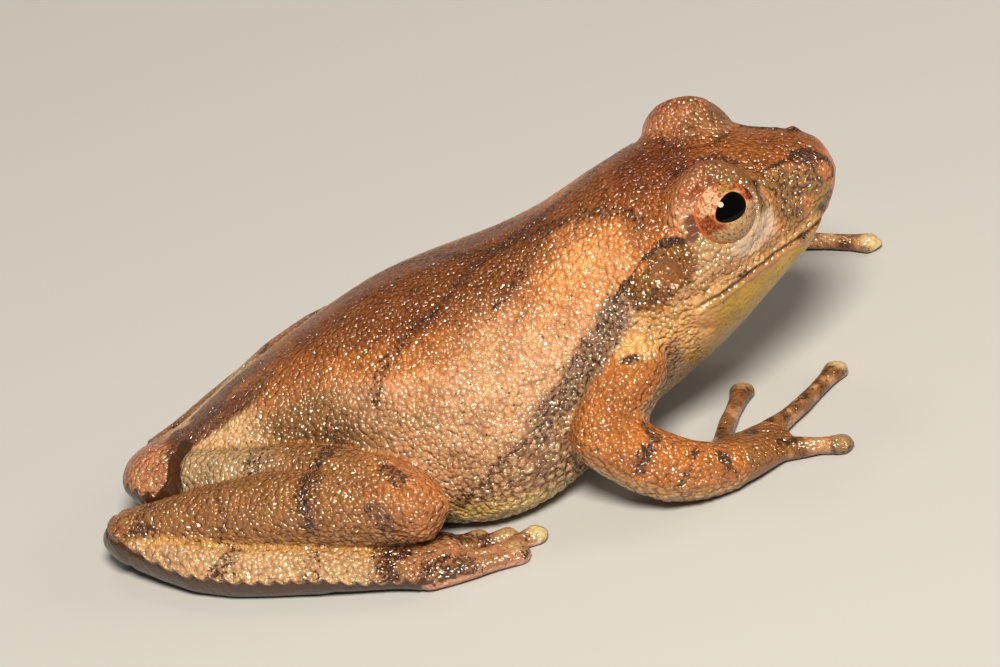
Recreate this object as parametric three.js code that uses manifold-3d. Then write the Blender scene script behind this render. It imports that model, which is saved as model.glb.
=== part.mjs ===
// A small tree frog (spring peeper) crouching on a flat surface, life size, in millimetres.
// +Z is up, the snout points along -Y and the frog's left side is +X.
// Places on the animal are written [out, back, up]: sideways from the midline, behind the tip
// of the snout, and above the surface that it crouches on.
import * as THREE from 'three';
import { mergeVertices } from 'three/addons/utils/BufferGeometryUtils.js';
import Module from 'manifold-3d';

const wasm = await Module();
wasm.setup();

// ---- driving dimensions -------------------------------------------------------------------
const BODY_LENGTH = 29.5;
const SNOUT_ROUNDING = 1.5;
const SNOUT_HEIGHT = 8.3;
const RUMP_ROUNDING = 1.6;
const RUMP_HEIGHT = 2.15;
const MID_BODY = 15;
const FAR = 40;

const GAP = 0.1;
const NECK_BACK = 8.7;
const MOUTH_HEIGHT = 7.0;
const MOUTH_CORNER_BACK = 6.9;

const EYE_RADIUS = 1.4;
const EYE_PLACE = [2.98, 5.0, 9.38];
const EYE_LOOK = [0.88, -0.19, 0.43];
const LID_THICKNESS = 0.25;
const LID_RISE = [0, 0.15, 0.2];
const EYE_OPENING = 1.2;
const BROW_FILLET = 0.9;
const EARDRUM_RADIUS = 0.55;
const EARDRUM_THICKNESS = 0.6;
const EARDRUM_PLACE = [4.6, 7.55, 8.2];
const EARDRUM_LOOK = [0.88, 0.1, 0.46];

const FINGER_DISC = 0.5;
const TOE_DISC = 0.46;

// Sections of the body from snout to rump. `back` is the section's distance behind the snout;
// `top`, `level` and `bottom` are the heights of the ridge, the widest line and the underside;
// `half` is the half width; `roof` and `keel` bend the section above and below the widest line
// (1 is an ellipse, less is boxier).
const BODY = [
  { back: 0.0, top: 9.8, level: 7.5, bottom: 7.2, half: 1.5, roof: 0.6, keel: 0.8 },
  { back: 1.0, top: 9.85, level: 7.0, bottom: 6.45, half: 1.7, roof: 0.58, keel: 0.8 },
  { back: 2.1, top: 9.95, level: 6.8, bottom: 5.75, half: 2.3, roof: 0.58, keel: 0.85 },
  { back: 3.4, top: 10.1, level: 6.75, bottom: 4.85, half: 3.15, roof: 0.6, keel: 0.9 },
  { back: 5.0, top: 10.25, level: 6.7, bottom: 3.55, half: 4.1, roof: 0.7, keel: 0.95 },
  { back: 7.0, top: 10.4, level: 6.5, bottom: 2.15, half: 4.75, roof: 0.85, keel: 0.95 },
  { back: 9.0, top: 10.05, level: 5.3, bottom: 1.1, half: 4.8, roof: 0.95, keel: 0.9 },
  { back: 11.0, top: 9.2, level: 3.7, bottom: 0.3, half: 5.25, roof: 1, keel: 0.8 },
  { back: 13.2, top: 8.4, level: 2.6, bottom: -0.15, half: 6.2, roof: 1, keel: 0.62 },
  { back: 15.6, top: 7.95, level: 2.1, bottom: -0.2, half: 6.7, roof: 1, keel: 0.52 },
  { back: 18.0, top: 7.6, level: 2.2, bottom: -0.15, half: 6.05, roof: 1, keel: 0.6 },
  { back: 20.2, top: 6.95, level: 2.5, bottom: 0.05, half: 4.85, roof: 1, keel: 0.75 },
  { back: 22.5, top: 6.0, level: 2.6, bottom: 0.3, half: 3.8, roof: 1, keel: 0.9 },
  { back: 25.0, top: 4.7, level: 2.5, bottom: 0.7, half: 3.1, roof: 1, keel: 0.95 },
  { back: 27.4, top: 3.3, level: 2.3, bottom: 1.1, half: 2.1, roof: 1, keel: 1 },
  { back: BODY_LENGTH, top: 2.7, level: 2.1, bottom: 1.5, half: 1.6, roof: 1, keel: 1 },
];

// Limbs. The right forelimb is bent back under the shoulder, the left one reaches forward.
const SIDES = [
  {
    name: 'right',
    sign: -1,
    shoulder: [3.9, 9.3, 5.0],
    elbow: [6.35, 11.35, 2.95],
    forearmBelly: [7.3, 8.9, 1.4],
    wrist: [7.2, 7.0, 0.9],
    handAngle: 48,
    fingers: [
      { name: 'finger_1', base: [1.0, 0.5], tip: [1.45, 1.5] },
      { name: 'finger_2', base: [0.9, 0.9], bend: [2.3, 1.75], tip: [5.45, 2.85] },
      { name: 'finger_3', base: [2.2, 0.2], bend: [4.9, -0.1], tip: [7.89, 0] },
      { name: 'finger_4', base: [1.9, -0.5], bend: [2.6, -1.6], tip: [3.42, -2.86] },
    ],
    hip: [1.5, 26.2, 2.35],
    thighBelly: [4.45, 22.35, 2.65],
    knee: [7.35, 18.65, 2.75],
    calf: [5.4, 23.0, 2.6],
    heel: [2.45, 29.7, 1.35],
    tarsusBelly: [5.3, 26.9, 0.95],
    tarsusEnd: [7.25, 22.6, 0.85],
    footEnd: [8.0, 18.9, 0.6],
  },
  {
    name: 'left',
    sign: 1,
    shoulder: [3.9, 9.0, 5.0],
    elbow: [7.4, 8.9, 3.0],
    forearmBelly: [9.3, 7.1, 1.5],
    wrist: [10.45, 5.85, 0.9],
    handAngle: 24,
    fingers: [
      { name: 'finger_1', base: [1.0, 0.5], tip: [1.3, 1.9] },
      { name: 'finger_2', base: [1.8, 0.8], tip: [3.4, 3.8] },
      { name: 'finger_3', base: [2.2, 0.2], bend: [4.9, -0.1], tip: [7.89, 0] },
      { name: 'finger_4', base: [1.9, -0.5], bend: [2.8, -1.5], tip: [4.3, -2.6] },
    ],
    hip: [1.5, 25.4, 2.3],
    thighBelly: [4.3, 21.5, 2.8],
    knee: [7.1, 17.6, 2.35],
    calf: [5.7, 21.6, 1.95],
    heel: [2.5, 27.8, 1.2],
    tarsusBelly: [5.5, 25.0, 0.95],
    tarsusEnd: [7.4, 21.2, 0.85],
    footEnd: [8.3, 17.6, 0.6],
  },
];

// Toes, as [out, back] of the base and of the disc, measured from the end of the foot.
const TOES = [
  { name: 'toe_1', base: [-1.1, 0.3], tip: [-1.35, -0.9] },
  { name: 'toe_2', base: [-0.6, 0.1], tip: [-1.1, -2.1] },
  { name: 'toe_3', base: [-0.05, 0.0], tip: [-0.8, -3.2] },
  { name: 'toe_4', base: [0.5, 0.0], bend: [0.4, -2.3], tip: [-0.5, -4.3] },
  { name: 'toe_5', base: [1.0, 0.2], bend: [1.0, -1.8], tip: [0.6, -3.5] },
];

// Oval half width and half height along each limb segment, from its near joint (0) to its far
// joint (1).
const UPPER_ARM = [[0, 1.5, 1.6], [0.5, 1.3, 1.5], [1, 1.15, 1.25]];
const FOREARM = [[0, 1.15, 1.15], [0.5, 1.2, 1.25], [1, 0.88, 0.85]];
const PALM = [[0, 0.88, 0.82], [0.5, 1.1, 0.68], [1, 1.15, 0.45]];
const THIGH = [[0, 1.4, 1.5], [0.45, 1.7, 1.75], [0.8, 1.6, 1.65], [1, 1.35, 1.4]];
const SHANK = [[0, 1.35, 1.4], [0.35, 1.52, 1.55], [0.7, 1.3, 1.35], [1, 0.95, 0.95]];
const TARSUS = [[0, 0.85, 0.95], [0.4, 0.85, 0.98], [1, 0.8, 0.82]];
const FOOT = [[0, 0.8, 0.78], [1, 1.25, 0.5]];
const FINGER = [
  [0, 0.36, 0.36],
  [0.35, 0.28, 0.3],
  [0.55, 0.31, 0.3],
  [0.8, 0.27, 0.27],
  [1, FINGER_DISC, 0.28],
];
const TOE = [[0, 0.3, 0.32], [0.4, 0.26, 0.3], [0.75, 0.25, 0.27], [1, TOE_DISC, 0.28]];

// How finely each kind of solid is faceted: rings along it and sides around it.
const BODY_FACETS = { along: 32, around: 22 };
const LIMB_FACETS = { along: 9, around: 10 };
const DIGIT_FACETS = { along: 8, around: 7 };
const EYE_FACETS = { along: 10, around: 16 };
const LID_FACETS = { along: 8, around: 14 };
const SOCKET_FACETS = { along: 7, around: 12 };
const BAR_SIDES = 14;
const EVEN_SHARE = 0.45;

// ---- colours ------------------------------------------------------------------------------
const BACK_TAN = 0xb07046;
const LIMB_BROWN = 0xb8743f;
const THROAT_YELLOW = 0xbea040;
const DIGIT_BROWN = 0x9c6a42;
const EYE_COPPER = 0xc07a38;
const EARDRUM_BROWN = 0x8a5a30;

// ---- shape helpers ------------------------------------------------------------------------
function place(side, [out, back, up]) {
  return new THREE.Vector3(side * out, back - MID_BODY, up);
}

function direction(side, [out, back, up]) {
  return new THREE.Vector3(side * out, back, up).normalize();
}

function toSolid(geometry) {
  geometry.deleteAttribute('normal');
  geometry.deleteAttribute('uv');
  const merged = mergeVertices(geometry);
  const vertProperties = new Float32Array(merged.attributes.position.array);
  const triVerts = new Uint32Array(merged.index.array);
  return new wasm.Manifold(new wasm.Mesh({ numProp: 3, vertProperties, triVerts }));
}

// A closed skin stretched over a ball: `reach(s, turn)` gives the point at the part s of the
// way from one pole to the other, at the angle `turn` round the axis. Where it would sink below
// `ground` it lies flat there.
function skin({ along, around }, ground, reach) {
  const geometry = new THREE.SphereGeometry(1, around, along);
  const position = geometry.attributes.position;
  for (let i = 0; i < position.count; i += 1) {
    const s = Math.acos(THREE.MathUtils.clamp(position.getY(i), -1, 1)) / Math.PI;
    const turn = Math.atan2(-position.getZ(i), position.getX(i));
    const point = reach(s, turn);
    position.setXYZ(i, point.x, point.y, Math.max(point.z, ground));
  }
  return toSolid(geometry);
}

// Rows of numbers, read at x between them along smooth curves.
function between(rows, keyOf, x) {
  const last = rows.length - 1;
  let i = 0;
  while (i < last - 1 && keyOf(rows[i + 1]) < x) {
    i += 1;
  }
  const span = keyOf(rows[i + 1]) - keyOf(rows[i]);
  const t = THREE.MathUtils.clamp((x - keyOf(rows[i])) / span, 0, 1);
  const slope = (valueOf, j) => {
    const before = rows[Math.max(j - 1, 0)];
    const after = rows[Math.min(j + 1, last)];
    return (valueOf(after) - valueOf(before)) / (keyOf(after) - keyOf(before));
  };
  return (valueOf) => {
    const t2 = t * t;
    const t3 = t2 * t;
    const start = (2 * t3 - 3 * t2 + 1) * valueOf(rows[i]) + (t3 - 2 * t2 + t) * span * slope(valueOf, i);
    const end = (3 * t2 - 2 * t3) * valueOf(rows[i + 1]) + (t3 - t2) * span * slope(valueOf, i + 1);
    return start + end;
  };
}

function bent(value, power) {
  return Math.sign(value) * Math.abs(value) ** power;
}

// How far a rounded end has opened, `distance` in from its tip.
function rounding(distance, length) {
  const inside = 1 - Math.min(Math.max(distance, 0) / length, 1);
  return Math.sqrt(1 - inside * inside);
}

// Even steps, drawn a little towards both ends.
function spread(s) {
  return EVEN_SHARE * s + (1 - EVEN_SHARE) * (1 - Math.cos(Math.PI * s)) / 2;
}

// The head swells smoothly round each eyeball.
function swellOverEyes(point) {
  for (const { sign } of SIDES) {
    const centre = place(sign, EYE_PLACE);
    const away = point.clone().sub(centre);
    const distance = away.length();
    const inside = distance - EYE_RADIUS;
    const swollen = (distance + EYE_RADIUS + Math.sqrt(inside * inside + BROW_FILLET * BROW_FILLET)) / 2;
    const nearness = THREE.MathUtils.smoothstep(2 * EYE_RADIUS - distance, 0, EYE_RADIUS);
    point.copy(centre).addScaledVector(away, 1 + (swollen / distance - 1) * nearness);
  }
  return point;
}

function bodySolid(grow = 0) {
  const start = -grow;
  const length = BODY_LENGTH + 2 * grow;
  return skin(BODY_FACETS, grow > 0 ? -FAR : 0, (s, turn) => {
    const back = start + spread(s) * length;
    const read = between(BODY, (row) => row.back, back);
    const half = read((row) => row.half) + grow;
    const top = read((row) => row.top) + grow;
    const level = read((row) => row.level);
    const bottom = read((row) => row.bottom) - grow;
    const upper = Math.sin(turn) > 0;
    const power = upper ? read((row) => row.roof) : read((row) => row.keel);
    const out = half * bent(Math.cos(turn), power);
    const rise = (upper ? top - level : level - bottom) * bent(Math.sin(turn), power);
    const snout = rounding(back - start, SNOUT_ROUNDING + grow);
    const rump = rounding(start + length - back, RUMP_ROUNDING + grow);
    const middle = back < MID_BODY ? SNOUT_HEIGHT : RUMP_HEIGHT;
    const opened = snout * rump;
    const point = new THREE.Vector3(out * opened, back - MID_BODY, middle + (level + rise - middle) * opened);
    return swellOverEyes(point);
  });
}

// A limb segment or digit: an oval section swept along a smooth line through `joints`, with
// round ends. The joints are the centres of its round ends.
function limbSolid(joints, sizes, facets, grow = 0) {
  const firstSize = sizes[0][1] + grow;
  const lastSize = sizes[sizes.length - 1][1] + grow;
  const line = new THREE.CatmullRomCurve3(joints, false, 'centripetal');
  const run = line.getLength();
  const length = firstSize + run + lastSize;
  const startWay = line.getTangentAt(0);
  const endWay = line.getTangentAt(1);
  return skin(facets, grow > 0 ? -FAR : 0, (s, turn) => {
    const distance = spread(s) * length;
    const part = THREE.MathUtils.clamp((distance - firstSize) / run, 0, 1);
    const centre = line.getPointAt(part);
    centre.addScaledVector(startWay, Math.min(distance - firstSize, 0));
    centre.addScaledVector(endWay, Math.max(distance - firstSize - run, 0));
    const way = line.getTangentAt(part);
    const sideways = new THREE.Vector3().crossVectors(way, new THREE.Vector3(0, 0, 1)).normalize();
    const upward = new THREE.Vector3().crossVectors(sideways, way);
    const read = between(sizes, (row) => row[0], part);
    const opened = rounding(distance, firstSize) * rounding(length - distance, lastSize);
    const wide = (read((row) => row[1]) + grow) * opened * Math.cos(turn);
    const tall = (read((row) => row[2]) + grow) * opened * Math.sin(turn);
    return centre.addScaledVector(sideways, wide).addScaledVector(upward, tall);
  });
}

function ball(radius, centre, { along, around }) {
  const geometry = new THREE.SphereGeometry(radius, around, along);
  geometry.translate(centre.x, centre.y, centre.z);
  return toSolid(geometry);
}

// A round bar along `way`, from `start` in length `length`.
function bar(radius, start, way, length) {
  const geometry = new THREE.CylinderGeometry(radius, radius, length, BAR_SIDES);
  geometry.translate(0, length / 2, 0);
  geometry.applyQuaternion(new THREE.Quaternion().setFromUnitVectors(new THREE.Vector3(0, 1, 0), way));
  geometry.translate(start.x, start.y, start.z);
  return toSolid(geometry);
}

// A block between two corners, given as [x, back, up].
function block([x0, back0, up0], [x1, back1, up1]) {
  const geometry = new THREE.BoxGeometry(x1 - x0, back1 - back0, up1 - up0);
  geometry.translate((x0 + x1) / 2, (back0 + back1) / 2 - MID_BODY, (up0 + up1) / 2);
  return toSolid(geometry);
}

const group = new THREE.Group();

// The triangles of a mesh's largest body: a cut can leave crumbs beside it.
function largestBody({ vertProperties, triVerts }) {
  const corner = (i) => vertProperties.subarray(3 * i, 3 * i + 3).join();
  const leader = new Map();
  const lead = (key) => {
    let top = key;
    while (leader.has(top) && leader.get(top) !== top) {
      top = leader.get(top);
    }
    return top;
  };
  const keys = Array.from(triVerts, corner);
  for (let i = 0; i < keys.length; i += 3) {
    const top = lead(keys[i]);
    leader.set(lead(keys[i + 1]), top);
    leader.set(lead(keys[i + 2]), top);
  }
  const volumes = new Map();
  const [a, b, c] = [new THREE.Vector3(), new THREE.Vector3(), new THREE.Vector3()];
  for (let i = 0; i < keys.length; i += 3) {
    a.fromArray(vertProperties, 3 * triVerts[i]);
    b.fromArray(vertProperties, 3 * triVerts[i + 1]);
    c.fromArray(vertProperties, 3 * triVerts[i + 2]);
    const top = lead(keys[i]);
    volumes.set(top, (volumes.get(top) ?? 0) + a.dot(b.cross(c)));
  }
  const [largest] = [...volumes].sort((one, other) => other[1] - one[1])[0];
  return Array.from(triVerts).filter((_, i) => lead(keys[i - (i % 3)]) === largest);
}

function addPart(name, solid, color, roughness = 0.45) {
  const mesh = solid.getMesh();
  const geometry = new THREE.BufferGeometry();
  geometry.setAttribute('position', new THREE.BufferAttribute(new Float32Array(mesh.vertProperties), 3));
  geometry.setIndex(largestBody(mesh));
  geometry.computeVertexNormals();
  const part = new THREE.Mesh(geometry, new THREE.MeshStandardMaterial({ color, roughness, metalness: 0 }));
  part.name = name;
  group.add(part);
}

// ---- head, lower jaw and trunk ------------------------------------------------------------
// The body is modelled whole and parted by thin cuts at the neck and along the mouth.
const body = bodySolid();
const grownBody = bodySolid(GAP);
const aheadOfNeck = block([-FAR, -FAR, -FAR], [FAR, NECK_BACK, FAR]);
const behindNeck = block([-FAR, NECK_BACK + GAP, -FAR], [FAR, NECK_BACK + FAR, FAR]);
const jawRoom = block([-FAR, -FAR, -FAR], [FAR, MOUTH_CORNER_BACK, MOUTH_HEIGHT]);
const jawBlock = block([-FAR, -FAR, -FAR], [FAR, MOUTH_CORNER_BACK - GAP, MOUTH_HEIGHT - GAP]);

let head = body.intersect(aheadOfNeck).subtract(jawRoom);
const jaw = body.intersect(jawBlock);
const trunk = body.intersect(behindNeck);

const eyes = [];
const eardrums = [];
for (const { name, sign } of SIDES) {
  const centre = place(sign, EYE_PLACE);
  const look = direction(sign, EYE_LOOK);
  const lidCentre = centre.clone().add(new THREE.Vector3(...LID_RISE));
  head = head.add(ball(EYE_RADIUS + LID_THICKNESS, lidCentre, LID_FACETS));
  head = head.subtract(ball(EYE_RADIUS + GAP, centre, SOCKET_FACETS));
  const rim = centre.clone().addScaledVector(look, EYE_RADIUS / 2);
  head = head.subtract(bar(EYE_OPENING, rim, look, EYE_RADIUS * 2));
  eyes.push({ name: `${name}_eye`, solid: ball(EYE_RADIUS, centre, EYE_FACETS) });

  const drumCentre = place(sign, EARDRUM_PLACE);
  const drumWay = direction(sign, EARDRUM_LOOK);
  const drumStart = drumCentre.clone().addScaledVector(drumWay, -EARDRUM_THICKNESS);
  const drum = bar(EARDRUM_RADIUS, drumStart, drumWay, EARDRUM_THICKNESS * 2).intersect(head);
  const seat = bar(EARDRUM_RADIUS + GAP / 2, drumStart, drumWay, EARDRUM_THICKNESS * 3);
  head = head.subtract(seat);
  eardrums.push({ name: `${name}_eardrum`, solid: drum });
}

addPart('head', head, BACK_TAN);
addPart('lower_jaw', jaw, THROAT_YELLOW);
addPart('trunk', trunk, BACK_TAN);
for (const eye of eyes) {
  addPart(eye.name, eye.solid, EYE_COPPER, 0.1);
}
for (const eardrum of eardrums) {
  addPart(eardrum.name, eardrum.solid, EARDRUM_BROWN);
}

// ---- limbs --------------------------------------------------------------------------------
// Each piece is cut clear of the ones before it.
function addChain(pieces, cutters) {
  const grown = [...cutters];
  for (const piece of pieces) {
    const facets = piece.facets ?? LIMB_FACETS;
    let solid = limbSolid(piece.joints, piece.sizes, facets);
    for (const cutter of grown) {
      solid = solid.subtract(cutter);
    }
    addPart(piece.name, solid, piece.color);
    grown.push(limbSolid(piece.joints, piece.sizes, facets, GAP));
  }
}

// A point of the hand from [along, inward] measured from the wrist.
function handPoint(side, [along, inward], up) {
  const angle = THREE.MathUtils.degToRad(side.handAngle);
  const out = side.wrist[0] - along * Math.sin(angle) - inward * Math.cos(angle);
  const back = side.wrist[1] - along * Math.cos(angle) + inward * Math.sin(angle);
  return place(side.sign, [out, back, up]);
}

const PALM_END = [2.2, -0.15];
const KNUCKLE_UP = 0.5;
const BEND_UP = 0.42;
const DISC_UP = 0.27;

for (const side of SIDES) {
  const at = (point) => place(side.sign, point);
  const arm = [
    { name: 'upper_arm', joints: [at(side.shoulder), at(side.elbow)], sizes: UPPER_ARM },
    { name: 'forearm', joints: [at(side.elbow), at(side.forearmBelly), at(side.wrist)], sizes: FOREARM },
    { name: 'hand', joints: [at(side.wrist), handPoint(side, PALM_END, KNUCKLE_UP)], sizes: PALM },
  ];
  const fingers = side.fingers.map(({ name, base, bend, tip }) => ({
    name,
    joints: [
      handPoint(side, base, KNUCKLE_UP),
      ...(bend ? [handPoint(side, bend, BEND_UP)] : []),
      handPoint(side, tip, DISC_UP),
    ],
    sizes: FINGER,
    facets: DIGIT_FACETS,
    color: DIGIT_BROWN,
  }));
  const leg = [
    { name: 'shank', joints: [at(side.knee), at(side.calf), at(side.heel)], sizes: SHANK },
    { name: 'thigh', joints: [at(side.hip), at(side.thighBelly), at(side.knee)], sizes: THIGH },
    { name: 'tarsus', joints: [at(side.heel), at(side.tarsusBelly), at(side.tarsusEnd)], sizes: TARSUS },
    { name: 'foot', joints: [at(side.tarsusEnd), at(side.footEnd)], sizes: FOOT },
  ];
  const [footOut, footBack] = side.footEnd;
  const toes = TOES.map(({ name, base, bend, tip }) => ({
    name,
    joints: [
      at([footOut + base[0], footBack + base[1], KNUCKLE_UP]),
      ...(bend ? [at([footOut + bend[0], footBack + bend[1], BEND_UP])] : []),
      at([footOut + tip[0], footBack + tip[1], DISC_UP]),
    ],
    sizes: TOE,
    facets: DIGIT_FACETS,
    color: DIGIT_BROWN,
  }));
  const named = (piece) => ({ color: LIMB_BROWN, ...piece, name: `${side.name}_${piece.name}` });
  addChain([...arm, ...fingers].map(named), [grownBody]);
  addChain([...leg, ...toes].map(named), [grownBody]);
}

export default group;
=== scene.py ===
import math

import bpy
import numpy as np
from mathutils import Matrix, Vector
from mathutils.bvhtree import BVHTree
from mathutils.kdtree import KDTree


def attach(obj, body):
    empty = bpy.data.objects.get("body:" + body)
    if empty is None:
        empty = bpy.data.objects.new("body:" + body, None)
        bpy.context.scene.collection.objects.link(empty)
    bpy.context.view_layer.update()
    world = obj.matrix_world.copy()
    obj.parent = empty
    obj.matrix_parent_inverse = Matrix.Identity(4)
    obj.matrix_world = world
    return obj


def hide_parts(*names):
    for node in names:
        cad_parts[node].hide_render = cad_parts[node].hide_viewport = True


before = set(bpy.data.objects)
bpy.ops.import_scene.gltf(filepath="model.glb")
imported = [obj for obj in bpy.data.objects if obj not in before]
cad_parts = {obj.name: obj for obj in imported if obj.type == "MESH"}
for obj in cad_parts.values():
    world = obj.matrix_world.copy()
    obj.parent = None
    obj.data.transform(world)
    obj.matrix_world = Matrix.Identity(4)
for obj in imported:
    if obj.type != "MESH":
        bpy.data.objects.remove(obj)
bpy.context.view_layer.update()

# ---- the skin's form -------------------------------------------------------------------------
# One thin moist skin covers the frog from snout to toes. It is formed over the solids of the
# body and limbs, each rounded by itself, and drawn together into one surface without a seam.
MM = 0.001
MID_BODY = 15.0
# The width of the cuts between the solids, in millimetres.
GAP = 0.1
# How far each solid is grown, how fine its skin is, both in millimetres, and how often it is evened.
BODY_GROWTH, BODY_GRAIN, BODY_ROUNDS = 0.07, 0.2, 20
LIMB_GROWTH, LIMB_GRAIN, LIMB_ROUNDS = 0.12, 0.09, 45
DIGIT_GROWTH, DIGIT_GRAIN, DIGIT_ROUNDS = 0.07, 0.055, 16
SKIN_GRAIN, SKIN_ROUNDS = 0.07, 6
LARGEST_BEND = 1.15


def mesh_from(name, points, faces):
    """A mesh from an array of points and an array of faces that all have as many corners."""
    mesh = bpy.data.meshes.new(name)
    count, corners = faces.shape
    mesh.vertices.add(len(points))
    mesh.vertices.foreach_set("co", np.ascontiguousarray(points, np.float32).ravel())
    mesh.loops.add(faces.size)
    mesh.loops.foreach_set("vertex_index", np.ascontiguousarray(faces, np.int32).ravel())
    mesh.polygons.add(count)
    mesh.polygons.foreach_set("loop_start", np.arange(0, faces.size, corners, dtype=np.int32))
    mesh.update(calc_edges=True)
    mesh.validate()
    return mesh


def placed(name, data):
    """A new object in the scene, with this mesh, lamp or camera."""
    made = bpy.data.objects.new(name, data)
    bpy.context.scene.collection.objects.link(made)
    return made


def read(items, key, kind=np.float32, width=1):
    """A property of every item of a mesh's collection, as an array."""
    values = np.empty(len(items) * width, kind)
    items.foreach_get(key, values)
    return values.reshape(-1, width) if width > 1 else values


def solid_of(node, grow):
    """A node's points in millimetres, grown outwards, and its triangles."""
    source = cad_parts[node].data
    source.calc_loop_triangles()
    corners = read(source.loop_triangles, "vertices", np.int32, 3)
    split = read(source.vertices, "co", np.float32, 3) / MM
    points, joined = np.unique(split.round(4), axis=0, return_inverse=True)
    triangles = joined.ravel()[corners]
    a, b, c = points[triangles].transpose(1, 0, 2)
    face = np.cross(b - a, c - a)
    normal = np.zeros_like(points)
    for corner in range(3):
        np.add.at(normal, triangles[:, corner], face)
    normal /= np.maximum(np.linalg.norm(normal, axis=1, keepdims=True), 1e-9)
    return points + normal * grow, triangles


def drawn_together(bodies, grain, rounds):
    """Bodies that touch, drawn into one skin of four-sided faces and rounded off."""
    points = np.vstack([body[0] for body in bodies])
    starts = np.cumsum([0] + [len(body[0]) for body in bodies[:-1]])
    faces = [body[1] + start for body, start in zip(bodies, starts)]
    form = placed("form", mesh_from("form", points, np.vstack(faces)))
    drawing = form.modifiers.new("drawing", "REMESH")
    drawing.mode = "VOXEL"
    drawing.voxel_size = grain
    rounding = form.modifiers.new("rounding", "SMOOTH")
    rounding.factor = 0.5
    rounding.iterations = rounds
    shaped = form.evaluated_get(bpy.context.evaluated_depsgraph_get()).to_mesh()
    drawn_points = read(shaped.vertices, "co", np.float32, 3)
    drawn_faces = read(shaped.loops, "vertex_index", np.int32).reshape(-1, 4)
    bpy.data.objects.remove(form)
    return drawn_points, drawn_faces


def without_crumbs(points, faces):
    """The largest connected part of a skin, without the crumbs left in tight folds."""
    patch_of = np.arange(len(points))
    while True:
        first, other = patch_of[faces[:, :-1]], patch_of[faces[:, 1:]]
        if (first == other).all():
            break
        np.minimum.at(patch_of, np.maximum(first, other), np.minimum(first, other))
        while (patch_of[patch_of] != patch_of).any():
            patch_of = patch_of[patch_of]
    wanted = patch_of == np.bincount(patch_of).argmax()
    new_number = np.cumsum(wanted) - 1
    return points[wanted], new_number[faces[wanted[faces[:, 0]]]]


FINGERS = ["finger_1", "finger_2", "finger_3", "finger_4"]
TOES = ["toe_1", "toe_2", "toe_3", "toe_4", "toe_5"]
HEAD_AND_TRUNK = ["head", "lower_jaw", "trunk"]
HEAD_SIDE = ["eye", "eardrum"]

whole_body = [solid_of(name, BODY_GROWTH) for name in HEAD_AND_TRUNK]
whole_body += [solid_of(f"{word}_{name}", BODY_GROWTH) for word in ["right", "left"] for name in HEAD_SIDE]
bodies = [drawn_together(whole_body, BODY_GRAIN, BODY_ROUNDS)]
for word in ["right", "left"]:
    for limb in [["upper_arm", "forearm", "hand"], ["thigh"], ["shank"], ["tarsus", "foot"]]:
        solids = [solid_of(f"{word}_{name}", LIMB_GROWTH) for name in limb]
        bodies.append(drawn_together(solids, LIMB_GRAIN, LIMB_ROUNDS))
    for limb_end, limb_digits in [("hand", FINGERS), ("foot", TOES)]:
        solids = [solid_of(f"{word}_{name}", DIGIT_GROWTH) for name in [limb_end, *limb_digits]]
        bodies.append(drawn_together(solids, DIGIT_GRAIN, DIGIT_ROUNDS))
points, faces = without_crumbs(*drawn_together(bodies, SKIN_GRAIN, SKIN_ROUNDS))

# The skin is laid out flat for its paint while it is still plain, before folds and granules.
skin = placed("skin", mesh_from("skin", points * MM, faces))
bpy.context.view_layer.objects.active = skin
bpy.ops.object.mode_set(mode="EDIT")
bpy.ops.mesh.select_all(action="SELECT")
bpy.ops.uv.smart_project(angle_limit=LARGEST_BEND, island_margin=0.004, scale_to_bounds=True)
bpy.ops.object.mode_set(mode="OBJECT")
skin.data.uv_layers[0].name = "OFBake"

edges = np.sort(np.vstack([faces[:, [corner, (corner + 1) % 4]] for corner in range(4)]), axis=1)
edges = np.unique(edges[:, 0].astype(np.int64) * len(points) + edges[:, 1])
ends = np.stack([edges // len(points), edges % len(points)], 1)
neighbours = np.bincount(ends.ravel(), minlength=len(points)).astype(float)


def mean_beside(values, pairs):
    """Each point's values, averaged over its neighbours, from these pairs of neighbours."""
    sums = [
        np.bincount(pairs[:, 0], column[pairs[:, 1]], len(values))
        + np.bincount(pairs[:, 1], column[pairs[:, 0]], len(values))
        for column in values.T
    ]
    return np.stack(sums, 1) / neighbours[:, None]


def relaxed(values, rounds):
    """A value of each point, evened out along the skin."""
    evened = np.array(values, float)[:, None]
    for _ in range(rounds):
        evened += 0.5 * (mean_beside(evened, ends) - evened)
    return evened[:, 0]


def normals_of(places):
    """The outward direction of the skin at each of its points."""
    a, b, c, d = places[faces].transpose(1, 0, 2)
    face = np.cross(c - a, d - b)
    sums = [
        sum(np.bincount(faces[:, corner], axis, len(places)) for corner in range(4)) for axis in face.T
    ]
    total = np.stack(sums, 1)
    return total / np.maximum(np.linalg.norm(total, axis=1, keepdims=True), 1e-9)


def ease(low, high, value):
    """0 up to the low end, 1 past the high end, and eased between them."""
    share = np.clip((value - low) / (high - low), 0, 1)
    return share * share * (3 - 2 * share)


# The part of the body that each point of the skin belongs to, from the nearest solid.
PARTS = sorted(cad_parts)
part_points, part_faces, part_of_face = [], [], []
for number, name in enumerate(PARTS):
    solid_points, solid_faces = solid_of(name, GAP / 2)
    part_faces.append(solid_faces + sum(len(earlier) for earlier in part_points))
    part_points.append(solid_points)
    part_of_face += [number] * len(solid_faces)
nearest = BVHTree.FromPolygons(np.vstack(part_points).tolist(), np.vstack(part_faces).tolist())
part_of_point = np.array(part_of_face)[[nearest.find_nearest(point)[2] for point in points.tolist()]]


def belongs(*names):
    """1 where a point belongs to a part of these names, on either side, and 0 elsewhere."""
    wanted = [number for number, name in enumerate(PARTS) if name in names or name.split("_", 1)[-1] in names]
    return np.isin(part_of_point, wanted).astype(float)


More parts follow.
